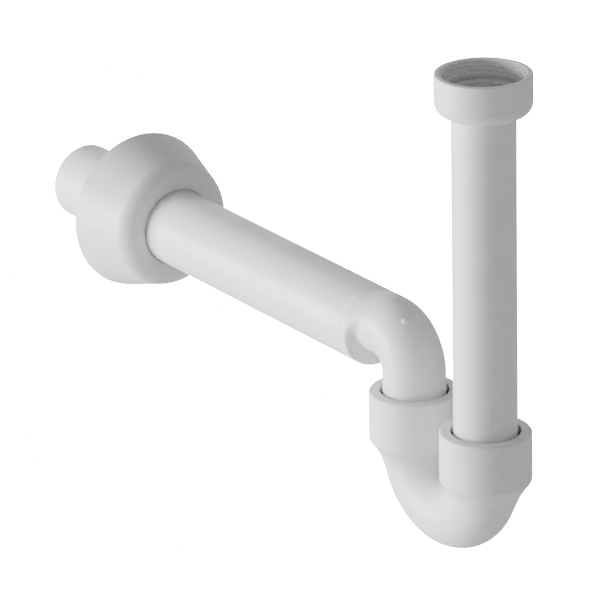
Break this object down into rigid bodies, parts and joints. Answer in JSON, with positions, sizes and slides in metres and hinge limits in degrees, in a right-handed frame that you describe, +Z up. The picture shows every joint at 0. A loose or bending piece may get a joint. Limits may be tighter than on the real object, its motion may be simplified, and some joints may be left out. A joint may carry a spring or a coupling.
{
  "type": "p trap",
  "caption": "Plastic basin P trap: union nut and inlet tube, U bend with two screwed slip joints, elbow, wall pipe and a sliding wall rosette.",
  "frame": {"origin": "on the wall pipe's axis, in the plane of the wall, which is the rosette's back rim", "axes": "+Z up along the inlet tube, +Y along the wall pipe into the wall, YZ is the trap's plane"},
  "size_m": [0.084, 0.3902, 0.2569],
  "materials": {
    "nut_plastic": "satin white polypropylene",
    "tube_plastic": "semi-gloss white polypropylene, drawn lengthways",
    "moulded_plastic": "semi-gloss white polypropylene, moulded",
    "rosette_plastic": "semi-gloss white polypropylene",
    "slip_ring_plastic": "black polyethylene",
    "gasket_rubber": "light grey soft rubber",
    "seal_rubber": "black rubber"
  },
  "bodies": {
    "wall_outlet": {"outlet_elbow": "moulded_plastic", "outlet_pipe": "tube_plastic"},
    "rosette": {"wall_rosette": "rosette_plastic"},
    "rear_seal": {"rear_seal": "seal_rubber"},
    "bend": {"trap_bend": "moulded_plastic"},
    "rear_slip_ring": {"rear_slip_ring": "slip_ring_plastic"},
    "rear_nut": {"rear_compression_nut": "nut_plastic"},
    "front_slip_ring": {"front_slip_ring": "slip_ring_plastic"},
    "front_nut": {"front_compression_nut": "nut_plastic"},
    "front_seal": {"front_seal": "seal_rubber"},
    "inlet": {"inlet_tube": "tube_plastic", "inlet_gasket": "gasket_rubber"},
    "union_slip_ring": {"union_slip_ring": "slip_ring_plastic"},
    "union_nut": {"inlet_union_nut": "nut_plastic"}
  },
  "joints": [
    {"name": "rosette_slide", "type": "slide", "parent": "wall_outlet", "child": "rosette", "axis": [0, 1, 0], "range_m": [-0.12, 0]},
    {"name": "rear_telescope", "type": "slide", "parent": "wall_outlet", "child": "rear_seal", "axis": [0, 0, 1], "range_m": [-0.005, 0.002]},
    {"name": "rear_swivel", "type": "hinge", "parent": "rear_seal", "child": "bend", "pos_m": [0, -0.2495, -0.0229], "axis": [0, 0, 1], "range_deg": [-135, 135]},
    {"name": "rear_nut_lift", "type": "slide", "parent": "bend", "child": "rear_slip_ring", "axis": [0, 0, 1], "range_m": [0, 0.00693]},
    {"name": "rear_nut_turn", "type": "hinge", "parent": "rear_slip_ring", "child": "rear_nut", "pos_m": [0, -0.2495, -0.0229], "axis": [0, 0, 1], "range_deg": [0, 1080]},
    {"name": "front_nut_lift", "type": "slide", "parent": "bend", "child": "front_slip_ring", "axis": [0, 0, 1], "range_m": [0, 0.00693]},
    {"name": "front_nut_turn", "type": "hinge", "parent": "front_slip_ring", "child": "front_nut", "pos_m": [0, -0.31, -0.0252], "axis": [0, 0, 1], "range_deg": [0, 1080]},
    {"name": "front_swivel", "type": "hinge", "parent": "bend", "child": "front_seal", "pos_m": [0, -0.31, -0.0252], "axis": [0, 0, 1], "continuous": true},
    {"name": "height_adjust", "type": "slide", "parent": "front_seal", "child": "inlet", "axis": [0, 0, 1], "range_m": [-0.002, 0.005]},
    {"name": "union_nut_lift", "type": "slide", "parent": "inlet", "child": "union_slip_ring", "axis": [0, 0, 1], "range_m": [-0.00924, 0]},
    {"name": "union_nut_turn", "type": "hinge", "parent": "union_slip_ring", "child": "union_nut", "pos_m": [0, -0.31, 0.1511], "axis": [0, 0, 1], "range_deg": [-1440, 0]}
  ],
  "couplings": [
    {"joint": "rear_nut_lift", "follows": "rear_nut_turn", "m_per_rad": 0.00036749},
    {"joint": "front_nut_lift", "follows": "front_nut_turn", "m_per_rad": 0.00036749},
    {"joint": "union_nut_lift", "follows": "union_nut_turn", "m_per_rad": 0.00036749}
  ]
}
